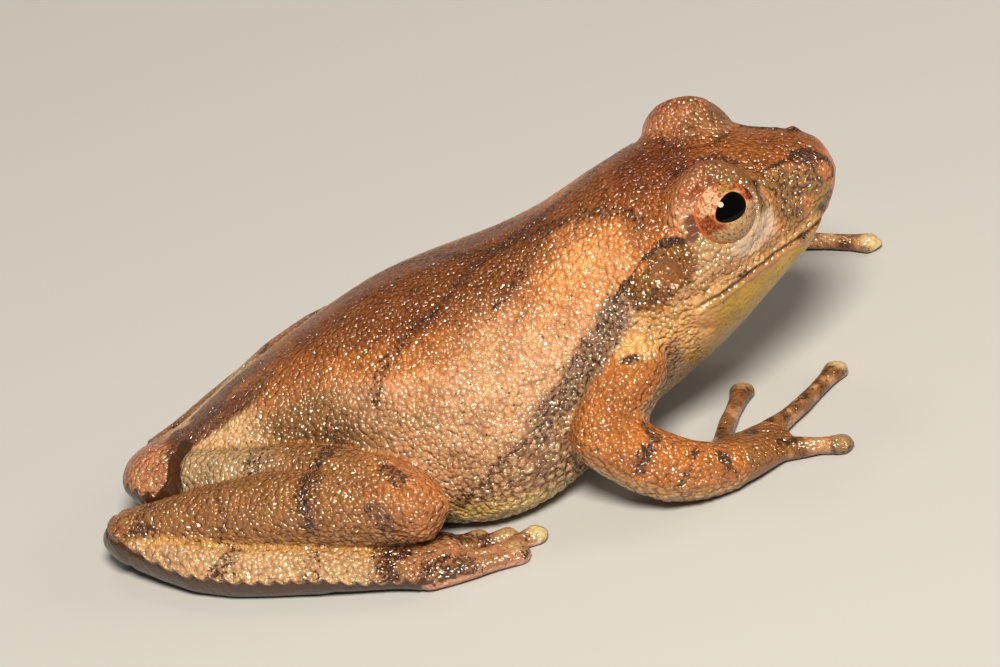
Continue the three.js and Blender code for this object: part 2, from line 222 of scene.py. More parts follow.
# ---- lids, lips, folds and fringes -----------------------------------------------------------
# The skin is thin and loose. It rolls round the eyeballs as lids, parts along the mouth, hollows
# into nostrils, stretches over the eardrums and hangs in low folds where the limbs join.
EYE_RADIUS = 1.4
EYE_PLACE = (2.98, 5.0, 9.38)
EYE_LOOK = (0.88, -0.225, 0.41)
EYE_OPENING = 62
UPPER_LID_OVERHANG = 7
BROW = (0.1, 0.6, 0.78)
LID_THIN, LID_THICK = 0.12, 0.58
LID_REACH = 2.6
RIM_TUCK, RIM_RISE = 0.22, 0.38
MOUTH_WIDTH, MOUTH_DEPTH = 0.09, 0.13
UPPER_LIP_RISE, LOWER_LIP_DROP = 0.2, 0.18
DRUM_RADIUS = 0.64
DISC_RADIUS, DISC_RISE = 0.42, 0.13
KNUCKLE_RADIUS, KNUCKLE_RISE = 0.8, 0.16
SCALLOP, SCALLOP_DEPTH, SCALLOP_LIFT = 0.6, 0.2, 0.6
FRINGE_RISE, FRINGE_WIDTH = 0.12, 0.12
# The fringe's height above the ground, at distances behind the snout.
FRINGE_HEIGHTS = [(18.8, 0.8), (20.0, 0.7), (21.5, 0.72), (22.7, 0.95), (23.8, 0.98), (25.0, 0.98)]
FRINGE_HEIGHTS += [(26.4, 1.05), (27.1, 1.12), (28.2, 1.2), (29.2, 1.5), (29.8, 1.75), (30.3, 2.0)]
HEEL_BACK = 28.2
LEFT_LEG_AHEAD = 1.75
JOINTS = {
    "right": {
        "shoulder": (3.9, 9.3, 5.0),
        "wrist": (7.2, 7.0, 0.9),
        "hip": (1.5, 26.2, 2.35),
        "knee": (7.35, 18.65, 2.75),
        "heel": (2.45, 29.7, 1.35),
        "ankle": (7.25, 22.6, 0.85),
    },
    "left": {
        "shoulder": (3.9, 9.0, 5.0),
        "wrist": (10.45, 5.85, 0.9),
        "hip": (1.5, 25.4, 2.3),
        "knee": (7.1, 17.6, 2.35),
        "heel": (2.5, 27.8, 1.2),
        "ankle": (7.4, 21.2, 0.85),
    },
}
SIDES = [(-1, "right"), (1, "left")]


def place(side, out, back, up):
    """A place on the frog, from sideways, behind the snout's tip and above the ground, in millimetres."""
    return np.array([side * out, back - MID_BODY, up])


def distance_to(middle):
    """How far each point of the skin is from a place."""
    return np.linalg.norm(points - middle, axis=1)


def direction(side, out, back, up):
    """A direction of unit length on one side of the frog."""
    aim = np.array([side * out, back, up])
    return aim / np.linalg.norm(aim)


def curve(side, places, steps=6):
    """A smooth line through these places."""
    knots = np.array([place(side, *spot) for spot in places])
    knots = np.vstack([2 * knots[0] - knots[1], knots, 2 * knots[-1] - knots[-2]])
    way = np.linspace(0, 1, steps, endpoint=False)[:, None]
    spans = []
    for a, b, c, d in zip(knots[:-3], knots[1:-2], knots[2:-1], knots[3:]):
        bend, twist = 2 * a - 5 * b + 4 * c - d, 3 * b - a - 3 * c + d
        spans.append(0.5 * (2 * b + (c - a) * way + bend * way**2 + twist * way**3))
    return np.vstack([*spans, knots[-2:-1]])


def tree_of(places):
    """A tree that finds the nearest of these places."""
    made = KDTree(len(places))
    for number, spot in enumerate(places.tolist()):
        made.insert(spot, number)
    made.balance()
    return made


skin_tree = tree_of(points)


def on_skin(line):
    """The same line, laid on the skin."""
    return points[[skin_tree.find(spot)[1] for spot in line.tolist()]]


def beside(line, reach):
    """The points within reach of a line: which, how far off it, and how far along it from 0 to 1."""
    within = ((points > line.min(0) - reach) & (points < line.max(0) + reach)).all(1)
    which = np.flatnonzero(within)
    near = points[which]
    off, along = np.full(len(which), np.inf), np.zeros(len(which))
    lengths = np.linalg.norm(np.diff(line, axis=0), axis=1)
    marks = np.concatenate([[0], np.cumsum(lengths)]) / lengths.sum()
    for number, (start, end) in enumerate(zip(line[:-1], line[1:])):
        span = end - start
        share = np.clip((near - start) @ span / max(span @ span, 1e-12), 0, 1)
        distance = np.linalg.norm(near - start - share[:, None] * span, axis=1)
        closer = distance < off
        off[closer] = distance[closer]
        along[closer] = (marks[number] + share * (marks[number + 1] - marks[number]))[closer]
    kept = off < reach
    return which[kept], off[kept], along[kept]


def end_of(name, joint, far):
    """The middle of a digit's far or near end, as seen from that joint."""
    digit, _ = solid_of(name, 0)
    away = np.linalg.norm(digit - joint, axis=1)
    return digit[away > away.max() - TIP_LENGTH if far else away < away.min() + ROOT_LENGTH].mean(0)


TIP_LENGTH, ROOT_LENGTH = 0.8, 0.5
DIGITS = [("wrist", finger) for finger in FINGERS] + [("ankle", toe) for toe in TOES]
tips, roots = (
    {
        (side, digit): end_of(f"{word}_{digit}", place(side, *JOINTS[word][joint]), far)
        for side, word in SIDES
        for joint, digit in DIGITS
    }
    for far in (True, False)
)

# Bends and joins are softened first, so that limbs run into hands, feet and shoulders. Each is
# softened round a point so far above its joint, within that reach.
SOFT_JOINTS = {"shoulder": (1.0, 2.0), "hip": (0.3, 2.0), "knee": (0.0, 2.1), "wrist": (0.0, 1.4)}
ROOT_SOFTNESS, ROOT_INNER, ROOT_OUTER = 0.7, 0.4, 1.1
SOFTENING_ROUNDS = 40
softness = np.zeros(len(points))
for side, word in SIDES:
    for joint, (lift, reach) in SOFT_JOINTS.items():
        away = distance_to(place(side, *JOINTS[word][joint]) + [0, 0, lift])
        softness = np.maximum(softness, 1 - ease(0.5 * reach, reach, away))
for root in roots.values():
    away = distance_to(root)
    softness = np.maximum(softness, ROOT_SOFTNESS * (1 - ease(ROOT_INNER, ROOT_OUTER, away)))
soft = softness > 0
near_soft = ends[soft[ends].any(1)]
for _ in range(SOFTENING_ROUNDS):
    points[soft] += (0.5 * softness[:, None] * (mean_beside(points, near_soft) - points))[soft]


def roll_lids(side):
    """Rolls the skin round one eyeball, with a thick soft upper lid and a thin lower one. What the
    lid does depends on how many degrees a point lies outside the opening."""
    offset = points - place(side, *EYE_PLACE)
    distance = np.maximum(np.linalg.norm(offset, axis=1), 1e-9)
    aim = offset / distance[:, None]
    above = ease(-0.2, 0.75, aim @ direction(side, *BROW))
    hooded = UPPER_LID_OVERHANG * ease(0.45, 0.95, aim[:, 2])
    opened = np.degrees(np.arccos(np.clip(aim @ direction(side, *EYE_LOOK), -1, 1))) - EYE_OPENING + hooded
    roll = EYE_RADIUS + (LID_THIN + (LID_THICK - LID_THIN) * above) * ease(-8, 20, opened)
    lid = distance + (np.maximum(distance, roll) - distance) * (1 - ease(58, 88, opened))
    rim = EYE_RADIUS - RIM_TUCK + RIM_RISE * ease(-9, 5, opened)
    shaped = rim + (lid - rim) * ease(2, 12, opened)
    near = distance < LID_REACH
    points[near] += (aim * (shaped - distance)[:, None])[near]


for side, word in SIDES:
    roll_lids(side)

height = np.zeros(len(points))


def fold(line, width, rise, ends_at=0.15):
    """Raises a low roll of skin along a line, or presses a crease where the rise is below 0."""
    which, off, along = beside(on_skin(line), 3 * width)
    fading = ease(0, ends_at, along) * ease(0, ends_at, 1 - along)
    height[which] += rise * np.exp(-((off / width) ** 2)) * fading


def swell(middle, width, rise):
    """Raises a round bump on the skin by a place, or presses a dimple, of that width."""
    away = distance_to(on_skin(middle[None])[0])
    height[:] += rise * np.exp(-((away / width) ** 2))


def fringe_edge(side):
    """How high above the ground the scalloped lower edge of the leg's upper skin runs, by each point."""
    ahead = 0 if side < 0 else LEFT_LEG_AHEAD
    wave = SCALLOP_DEPTH * (SCALLOP_LIFT - np.abs(np.sin(math.pi * (points[:, 1] + ahead) / SCALLOP)))
    return np.interp(points[:, 1] + MID_BODY + ahead, *zip(*FRINGE_HEIGHTS)) + wave


LID_FOLD = [(4.3, 6.3, 8.5), (4.05, 6.85, 9.2), (3.3, 7.2, 9.7), (2.3, 7.15, 10.0), (1.4, 6.75, 10.25)]
LID_FOLD += [(0.8, 5.9, 10.3), (0.8, 4.7, 10.25), (1.3, 3.8, 10.15), (2.2, 3.25, 9.9)]
UNDER_EYE = [(4.25, 5.9, 8.2), (4.15, 5.1, 7.95), (3.8, 4.2, 8.0), (3.3, 3.5, 8.3), (2.8, 3.1, 8.8)]
CANTHUS = [(2.5, 3.5, 9.95), (1.95, 2.95, 9.9), (1.5, 2.3, 9.85), (1.2, 1.6, 9.8)]
MOUTH = [(0, 0.55, 7.1), (0.9, 0.7, 7.1), (1.67, 1.25, 7.07), (2.27, 2.05, 7.03), (2.63, 2.62, 7.06)]
MOUTH += [(3.08, 3.3, 7.03), (3.4, 3.76, 7.0), (3.67, 4.2, 6.98), (3.94, 4.66, 6.9), (4.19, 5.24, 6.75)]
MOUTH += [(4.4, 5.84, 6.63), (4.58, 6.42, 6.55), (4.65, 6.8, 6.4)]
DRUM_FOLD = [(3.75, 6.85, 9.3), (3.75, 7.3, 9.15), (3.9, 7.95, 8.85), (4.25, 8.5, 8.3), (4.5, 8.95, 7.6)]
DRUM = (4.37, 7.5, 8.08)
JAW_FOLD = [(4.6, 7.6, 6.6), (4.3, 7.2, 5.9), (3.4, 6.6, 5.5)]
# Each fold's line, width and rise, and each swelling's place, width and rise, on both sides.
FOLDS = [(LID_FOLD, 0.22, -0.06), (UNDER_EYE, 0.2, -0.06), (CANTHUS, 0.2, 0.07)]
FOLDS += [(DRUM_FOLD, 0.17, 0.15), (JAW_FOLD, 0.25, -0.1)]
CHEEK_HOLLOW = ((2.1, 2.2, 8.7), 0.7, -0.12)
NOSTRIL_RIM = ((1.12, 1.3, 9.72), 0.26, 0.16)
NOSTRIL_PIT = ((1.3, 1.12, 9.6), 0.1, -0.26)
CHIN_SIDE = ((1.2, 1.1, 6.9), 0.9, -0.25)
flatness = 1 - 0.75 * np.abs(normals_of(points)[:, 2])
for side, word in SIDES:
    for line, width, rise in FOLDS:
        fold(curve(side, line), width, rise)
    mouth = curve(side, MOUTH)
    fold(mouth, MOUTH_WIDTH, -MOUTH_DEPTH, 0.02)
    fold(mouth + [0, 0, UPPER_LIP_RISE], 0.13, 0.06, 0.02)
    fold(mouth - [0, 0, LOWER_LIP_DROP], 0.1, 0.06, 0.02)
    for middle, width, rise in [CHEEK_HOLLOW, NOSTRIL_RIM, NOSTRIL_PIT, CHIN_SIDE]:
        swell(place(side, *middle), width, rise)
    swell(place(side, *JOINTS[word]["heel"]) + [0, 0.6, 0], 1.3, 0.22)
    swell(place(side, *JOINTS[word]["knee"]) + [-0.1 * side, -0.7, 1.2], 1.0, -0.2)
    drum = distance_to(place(side, *DRUM))
    height += 0.06 * np.exp(-(((drum - DRUM_RADIUS) / 0.12) ** 2)) - 0.05 * (1 - ease(0.4, 0.6, drum))
    for _, digit in DIGITS:
        pad = distance_to(tips[side, digit])
        height += DISC_RISE * np.exp(-((pad / DISC_RADIUS) ** 4)) * flatness
    heel = belongs(f"{word}_shank") * (points[:, 1] + MID_BODY > HEEL_BACK)
    lower_leg = relaxed(np.maximum(belongs(f"{word}_tarsus", f"{word}_foot"), heel), 4)
    over = points[:, 2] - fringe_edge(side)
    roll = FRINGE_RISE * np.exp(-(((over - 0.07) / FRINGE_WIDTH) ** 2))
    height += lower_leg * (roll + 0.06 * ease(-0.1, -0.25, over))
for root in roots.values():
    height += KNUCKLE_RISE * np.exp(-((distance_to(root) / KNUCKLE_RADIUS) ** 2))
RUMP_SWELL = ((0.1, 28.8, 2.6), 1.4, 0.3)
CHIN_TIP = ((0, 0.6, 6.9), 1.1, -0.3)
for middle, width, rise in [RUMP_SWELL, CHIN_TIP]:
    swell(place(1, *middle), width, rise)

directions = normals_of(points)
points += directions * height[:, None]

# ---- granules and cobbles --------------------------------------------------------------------
# The skin is set all over with low granules, which grow to round cobbles on the belly, the lower
# flank and under the limbs. Eardrums, the lower jaw and the legs' folded faces are smoother.
RANDOM = np.random.default_rng(11).random((4096, 4))
SCATTER = (73856093, 19349663, 83492791)
PEBBLE, COBBLE = 0.28, 0.4
PEBBLE_RISE, COBBLE_RISE = 0.016, 0.05


def draws(cells):
    """The random numbers that belong to the cells of a grid over the frog."""
    mixed = (cells * SCATTER).sum(1)
    return RANDOM[(mixed ^ (mixed >> 9)) & (len(RANDOM) - 1)]


def pebbles(size):
    """For round pebbles of that size set close together: how far each point is from its pebble's
    middle and from the next one's, in pebble sizes, and a random number for the pebble."""
    spots = points / size
    cells = np.floor(spots).astype(np.int64)
    first, second, tone = (np.full(len(spots), 9.0) for _ in range(3))
    for shift in np.ndindex(3, 3, 3):
        corner = cells + np.array(shift) - 1
        draw = draws(corner)
        off = ((spots - corner - 0.15 - 0.7 * draw[:, :3]) ** 2).sum(1)
        closer = off < first
        second = np.where(closer, first, np.minimum(second, off))
        tone = np.where(closer, draw[:, 3], tone)
        first = np.minimum(first, off)
    return np.sqrt(first), np.sqrt(second), tone


def wander(size, shift):
    """A smooth random value from 0 to 1 that changes over that many millimetres."""
    spots = points / size + shift
    cells = np.floor(spots).astype(np.int64)
    share = spots - cells
    share = share * share * (3 - 2 * share)
    total = np.zeros(len(points))
    for corner in np.ndindex(2, 2, 2):
        weight = np.prod(np.where(corner, share, 1 - share), axis=1)
        total += weight * draws(cells + corner)[:, 0]
    return total


out = np.abs(points[:, 0])
behind = points[:, 1] + MID_BODY
up = points[:, 2].copy()
facing_up = directions[:, 2]
side_of = np.sign(points[:, 0])
# Fine, middling and broad unevenness, which roughens the edges of marks and patches.
ragged = wander(0.4, 0.5)
bend = wander(0.9, 0.7)
drift = wander(1.6, 0.3)

trunk = relaxed(belongs("trunk"), 12)
head = relaxed(belongs("head", "eye", "eardrum"), 12)
jaw = relaxed(belongs("lower_jaw"), 3)
arm = relaxed(belongs("upper_arm", "forearm"), 12)
hand = relaxed(belongs("hand"), 8)
thigh = relaxed(belongs("thigh"), 8)
shank = relaxed(belongs("shank"), 6)
tarsus = relaxed(belongs("tarsus"), 6)
foot = relaxed(belongs("foot"), 12)
digits = relaxed(belongs(*FINGERS, *TOES), 12)
barred_parts = {"thigh": thigh, "shank": shank, "tarsus": tarsus, "foot": foot}

# The belly's upper edge: its height at distances behind the snout.
BELLY_LINE = [(8.6, 7.6), (9.4, 6.8), (10.4, 5.9), (11.4, 5.0), (12.2, 4.65), (13.7, 4.2)]
BELLY_LINE += [(15.3, 3.5), (16.6, 2.55), (17.4, 1.95), (30, 1.5)]
belly_edge = np.interp(behind, *zip(*BELLY_LINE)) + 0.7 * (bend - 0.5)
belly = trunk * ease(0.25, -0.3, up - belly_edge) * ease(8.2, 9.2, behind)
underside = ease(0.1, -0.5, facing_up)
cobbled = np.maximum(belly, 0.7 * (arm + shank + tarsus) * ease(0.1, -0.4, facing_up))


def patch(side, middle, inner, outer):
    """How near each point is to a place: 1 within the inner distance and 0 past the outer one."""
    away = distance_to(place(side, *middle))
    return 1 - ease(inner, outer, away + 0.5 * (ragged - 0.5))


def streak(side, places, inner, outer, ahead=0.0):
    """How near each point is to a line over the skin: 1 within the inner distance and 0 past the
    outer one. The line may be moved ahead."""
    mask = np.zeros(len(points))
    which, off, _ = beside(on_skin(curve(side, places) - [0, ahead, 0]), outer + 0.2)
    mask[which] = 1 - ease(inner, outer, off + 0.35 * (ragged[which] - 0.5))
    return mask


def bar(side, word, segment, start, end, where, width):
    """How near each point of a limb is to a bar across it, at that part of the way along."""
    first, last = place(side, *JOINTS[word][start]), place(side, *JOINTS[word][end])
    length = np.linalg.norm(last - first)
    way = (points - first) @ (last - first) / length + 1.1 * (bend - 0.5) + 0.25 * (ragged - 0.5)
    mask = np.exp(-(((way - where * length) / width) ** 4))
    return mask * (side_of == side) * ease(-0.45, 0.05, facing_up) * barred_parts[segment]


PALE_LORE = [(4.0, 4.4, 8.3), (3.6, 3.75, 8.4), (3.2, 3.35, 8.5)]
EYE_CORNER = [(3.86, 6.28, 9.75), (3.98, 6.3, 9.5), (4.07, 6.35, 9.22)]
BEHIND_THIGH = {
    "right": [(0.75, 26.95, 3.6), (1.1, 27.25, 3.35), (1.6, 27.5, 3.0), (2.0, 27.65, 2.6)],
    "left": [(1.6, 26.9, 2.9), (1.9, 27.0, 2.6), (2.1, 27.1, 2.3)],
}
# Smooth glossy skin under the tarsi, below each leg's fringe, behind the thighs and under the rump. Its dark
# brown is partly the skin's own and partly painted shade, where these hidden faces lie.
sleek_and_shaded = (tarsus + 0.5 * foot) * ease(-0.35, -0.65, facing_up)
for side, word in SIDES:
    lower_leg = tarsus + foot + shank * ease(HEEL_BACK - 0.2, HEEL_BACK + 0.2, behind)
    hidden = ease(-0.02, -0.1, up - fringe_edge(side)) * (side_of == side) * (lower_leg > 0.35)
    sleek_and_shaded = np.maximum(sleek_and_shaded, hidden * ease(0.75, 0.3, facing_up))
    sleek_and_shaded = np.maximum(sleek_and_shaded, streak(side, BEHIND_THIGH[word], 0.34, 0.4))
rump_edge = 2.45 + 0.25 * ease(28.7, 28.0, behind) + 0.12 * np.sin(9 * points[:, 0] + 6 * behind)
sleek_and_shaded = np.maximum(sleek_and_shaded, trunk * ease(27.6, 27.8, behind) * ease(0.03, -0.03, up - rump_edge))
cobbled *= 1 - sleek_and_shaded
off_pebble, _, grain_tone = pebbles(PEBBLE)
grain = np.clip(1 - (off_pebble / 0.62) ** 2, 0, 1)
off_cobble, off_next, _ = pebbles(COBBLE)
cobble = ease(0.02, 0.4, off_next - off_cobble) * (1 - 0.5 * off_cobble)

ball = np.zeros(len(points))
for side, word in SIDES:
    away = distance_to(place(side, *EYE_PLACE))
    ball = np.maximum(ball, 1 - ease(EYE_RADIUS + 0.25, EYE_RADIUS + 0.85, away + 0.4 * (ragged - 0.5)))
smooth = 0.55 * digits + sleek_and_shaded + 0.7 * hand * underside + 0.8 * foot * underside + 0.15 * ball
granular = 1 - np.clip(smooth, 0, 1)
granular *= 1 - 0.85 * jaw
for side, word in SIDES:
    granular *= ease(0.5, 0.75, distance_to(place(side, *DRUM))) * 0.85 + 0.15
    granular *= 1 - 0.6 * streak(side, PALE_LORE, 0.2, 0.8)
    granular *= 1 - 0.9 * streak(side, EYE_CORNER, 0.3, 0.5)
pebbled = (1 - cobbled) * PEBBLE_RISE * grain * (0.5 + 0.5 * grain_tone)
rise = granular * (pebbled + cobbled * COBBLE_RISE * cobble)
points += directions * rise[:, None]
points[:, 2] = np.maximum(points[:, 2], 0)
skin.data.vertices.foreach_set("co", (points * MM).astype(np.float32).ravel())
skin.data.polygons.foreach_set("use_smooth", np.ones(len(faces), bool))
skin.data.update()

# ---- colours and markings --------------------------------------------------------------------
# A coppery tan frog with near-black brown marks: a thin X on the back, a bar between the eyes, a
# speckled mask before and behind each eye, and bars across the limbs. The throat is yellow.
COLOURS = dict(
    coppery_tan=(186, 112, 47), flank=(191, 147, 118), flank_blush=(220, 150, 120),
    low_flank=(170, 128, 94), rear_back=(118, 82, 44), mid_back=(110, 60, 21), crown=(135, 76, 27),
    nape=(105, 49, 10), rump_side=(200, 162, 122), rump_end=(164, 111, 78), belly_side=(130, 96, 68),
    belly=(192, 166, 96), throat=(164, 128, 8), arm=(163, 98, 38), under_arm=(178, 138, 84),
    hand=(134, 86, 37), hind_leg=(137, 92, 50), knee=(162, 101, 55), hip=(165, 137, 103),
    tarsus=(188, 150, 112), toes=(150, 104, 72), toe_sides=(196, 142, 112), fingers=(126, 84, 44),
    finger_cloud=(184, 138, 100), over_shoulder=(214, 145, 91), mid_flank=(200, 152, 117),
    rear_streak=(112, 70, 38), midline_brown_and_shade=(96, 56, 32), lid=(194, 147, 116), lid_top=(140, 72, 37),
    lid_front=(122, 82, 42), lower_lid_and_shade=(146, 126, 84), cheek=(182, 144, 102), lip=(160, 116, 72),
    lip_edge=(196, 152, 98), mouth=(122, 82, 42), pale_lore=(192, 166, 146), snout_front=(146, 112, 48),
    before_eye=(124, 96, 66), lore=(142, 100, 52), ear_patch=(124, 78, 20), shoulder=(198, 150, 94),
    arm_front=(168, 128, 88), eye_corner=(96, 52, 28), front_corner=(74, 46, 30),
    flank_line=(146, 116, 94), eardrum=(122, 72, 14), pad=(198, 178, 132), amber_groove=(184, 138, 82),
    hidden_brown_and_shade=(60, 30, 3),
)


def linear(red, green, blue):
    """A colour as it looks, from 0 to 255, as the light that it gives back."""
    value = np.array([red, green, blue]) / 255
    return np.where(value > 0.04045, ((value + 0.055) / 1.055) ** 2.4, value / 12.92)


FEWEST_FLECKS = 0.05
tint = np.tile(linear(*COLOURS["coppery_tan"]), (len(points), 1))
flecks = np.full(len(points), FEWEST_FLECKS)
brown = np.zeros(len(points))


def paint(colour, mask):
    """Tints the skin where the mask says."""
    tint[:] += np.clip(mask, 0, 1)[:, None] * (linear(*COLOURS[colour]) - tint)


def mark(mask, dark, shade):
    """Sets dark flecks into the skin, so thick, over a soft brown shade."""
    flecks[:] = np.maximum(flecks, dark * mask)
    brown[:] = np.maximum(brown, shade * mask)


NAPE, NAPE_SIZE = (0, 7.0, 10.3), 2.0
# All fingers lie nearer than this behind the snout, and all toes farther.
HINDMOST_FINGER = 12
flank = trunk * ease(0.9, 0.45, facing_up + 0.3 * (drift - 0.5))
rear = ease(18, 22, behind + 2 * (drift - 0.5))
rump_side = trunk * ease(23.2, 25.2, behind + 1.2 * (drift - 0.5)) * ease(0.45, 0.8, out)
throat = (trunk + head) * ease(10.0, 8.4, behind) * ease(6.4, 5.6, up)
from_nape = distance_to(place(1, *NAPE))
paint("flank", flank)
paint("flank_blush", 0.6 * flank * ease(0.5, 0.7, wander(1.1, 0.9)))
paint("low_flank", flank * ease(7.0, 5.0, up))
paint("rear_back", trunk * rear * ease(0.93, 0.7, facing_up))
paint("mid_back", trunk * ease(0.76, 0.96, facing_up))
paint("crown", head * ease(0.35, 0.85, facing_up))
paint("nape", np.exp(-((from_nape / NAPE_SIZE) ** 4)))
paint("rump_side", rump_side)
paint("rump_end", trunk * ease(27.2, 27.8, behind))
paint("belly_side", belly)
paint("belly", belly * ease(1.9, 0.9, up + 0.8 * (drift - 0.5)))
paint("throat", np.maximum(jaw, throat))
paint("arm", arm)
paint("under_arm", arm * underside * 0.8)
paint("hand", hand)
paint("hind_leg", thigh + shank)
paint("knee", (thigh + shank) * ease(21, 18.5, behind))
paint("hip", thigh * ease(22.6, 24.6, behind))
paint("tarsus", tarsus + foot)
toes = np.maximum(foot * ease(21.4, 20.3, behind), digits * (behind > HINDMOST_FINGER))
fingers = digits * (behind < HINDMOST_FINGER)
paint("toes", toes)
paint("toe_sides", toes * ease(0.25, -0.1, facing_up))
paint("fingers", fingers)
paint("finger_cloud", 0.7 * fingers * ease(0.46, 0.34, wander(0.45, 0.2)))

X_MARK = [(2.75, 8.0, 9.6), (2.15, 8.45, 9.8), (1.5, 9.35, 9.75), (1.0, 10.1, 9.55), (0.7, 10.8, 9.3)]
X_MARK += [(0.45, 11.7, 8.95), (0.2, 12.6, 8.6), (0.15, 13.6, 8.35), (0.45, 14.5, 8.15)]
X_MARK += [(1.25, 15.3, 7.9), (1.75, 16.0, 7.7), (2.3, 16.75, 7.45), (2.9, 17.9, 7.0), (3.2, 18.5, 6.6)]
X_MARK += [(3.75, 19.0, 6.05), (4.0, 19.3, 5.6)]
SIDE_STREAK = [(0.95, 11.7, 8.9), (1.25, 12.1, 8.7), (1.9, 12.65, 8.3), (2.5, 13.3, 7.95)]
SIDE_STREAK += [(3.0, 14.1, 7.6), (3.3, 14.5, 7.35)]
REAR_STREAK = [(0.6, 23.1, 5.75), (0.9, 24.2, 5.15), (0.85, 25.3, 4.5), (0.7, 26.2, 4.0)]
EYE_BAR = [(1.3, 5.3, 10.3), (0.9, 5.9, 10.35), (0, 6.4, 10.35)]
LID_CREASE = [(1.5, 6.4, 10.35), (0.8, 5.85, 10.3), (0.5, 5.25, 10.35), (0.45, 4.7, 10.3)]
LID_CREASE += [(0.7, 4.2, 10.25), (1.3, 3.85, 10.15)]
CANTHAL_LINE = [(2.9, 3.65, 10.3), (2.25, 3.3, 10.0), (1.95, 3.05, 9.95), (1.58, 2.62, 9.92)]
CANTHAL_LINE += [(1.36, 2.07, 9.91), (0.95, 1.6, 9.88), (0.88, 1.28, 9.85), (0.9, 0.97, 9.65)]
NOSE_EDGE = [(0.9, 0.97, 9.65), (0.85, 0.65, 9.4), (0.75, 0.45, 9.15), (0.75, 0.35, 8.8)]
NOSE_EDGE += [(0.9, 0.4, 8.5), (1.25, 0.65, 8.6)]
NOSE_PATCH = [(1.1, 1.4, 9.8), (1.05, 0.95, 9.5)]
LORE = [(2.1, 2.75, 9.45), (1.95, 2.2, 9.15), (1.75, 1.6, 9.0), (1.65, 1.25, 8.85)]
LOWER_LORE = [(2.35, 2.5, 8.7), (2.4, 2.3, 8.1)]
BEFORE_EYE = [(2.85, 3.5, 9.9), (3.1, 3.5, 9.3)]
FRONT_CORNER = [(3.0, 3.72, 10.22), (2.8, 3.6, 10.17), (2.6, 3.5, 10.08), (2.35, 3.38, 9.99)]
FRONT_CORNER += [(2.06, 3.06, 9.92)]
CHEEK = [(4.3, 5.3, 8.0), (4.43, 6.3, 7.9), (4.6, 6.9, 7.1)]
BACK_MIDLINE = [(-0.75, 24.2, 5.1), (-0.4, 25.0, 4.7), (-0.1, 25.8, 4.25), (0.2, 26.6, 3.8)]
BACK_MIDLINE += [(0.45, 27.2, 3.5)]
SHOULDER_SPOT = [(5.6, 9.95, 5.62), (5.58, 9.45, 5.52)]
SNOUT_FRONT = [(1.45, 0.8, 8.25), (1.65, 1.1, 7.9)]
LIP = [(1.7, 1.3, 7.5), (2.4, 2.2, 7.3), (3.3, 3.4, 7.25), (4.0, 4.6, 7.3), (4.4, 5.6, 7.1), (4.6, 6.6, 6.9)]
LIP_SPOTS = [(1.26, 0.62, 8.0), (1.57, 1.1, 7.45), (1.94, 1.79, 7.1), (2.39, 2.32, 7.05)]
LIP_SPOTS += [(3.36, 3.76, 7.0), (4.05, 4.65, 7.04)]
EAR_LINE = [(4.0, 6.6, 9.15), (3.84, 7.05, 9.2), (3.95, 7.75, 9.0), (3.95, 8.35, 8.6)]
EAR_LINE += [(4.05, 9.1, 7.95), (4.2, 9.65, 7.5)]
FLANK_LINE = [(4.4, 9.7, 7.1), (4.66, 10.1, 6.5), (4.8, 10.6, 6.05), (5.2, 11.6, 5.25)]
FLANK_LINE += [(5.7, 12.5, 4.65), (6.15, 13.5, 3.9)]
EAR_PATCH = [(4.3, 7.1, 8.55), (4.4, 7.6, 8.0), (4.45, 8.4, 7.6)]
EAR_SPECKS = [(4.35, 9.1, 7.4), (4.5, 8.6, 7.2), (4.6, 7.8, 7.5)]
SHOULDER = [(4.75, 8.0, 6.0), (5.0, 8.8, 6.1), (5.2, 9.6, 6.1)]
ARM_FRONT = [(4.7, 8.0, 5.1), (4.5, 8.05, 4.25), (4.3, 8.35, 3.5), (5.3, 8.9, 3.6), (6.2, 9.5, 3.6)]
ARM_BAR = [(6.85, 9.7, 3.4), (7.4, 9.5, 3.1), (7.85, 9.75, 2.9), (8.1, 10.3, 2.45)]
WRIST_LINE = [(7.6, 8.0, 2.4), (7.96, 8.2, 2.2), (8.4, 8.7, 1.75), (8.5, 9.0, 1.45)]
HAND_BAR = [(7.6, 7.3, 1.85), (7.8, 7.1, 1.7), (8.0, 6.9, 1.3), (8.1, 6.75, 0.95)]
KNEE_BAR = [(6.8, 19.4, 4.2), (7.5, 19.1, 4.1)]
LOWER_KNEE_BAR = [(8.1, 20.4, 3.3), (8.4, 19.9, 2.8)]
AMBER_GROOVE = [(4.1, 28.9, 1.98), (5.2, 27.0, 2.0), (5.9, 25.6, 1.94), (6.8, 23.4, 1.83)]
AMBER_GROOVE += [(7.5, 21.2, 1.52), (7.9, 20.3, 1.4)]
ABOVE_SHOULDER, MID_FLANK, BELOW_EAR = (3.3, 10.2, 8.0), (5.3, 13.8, 6.0), (4.6, 7.2, 5.6)
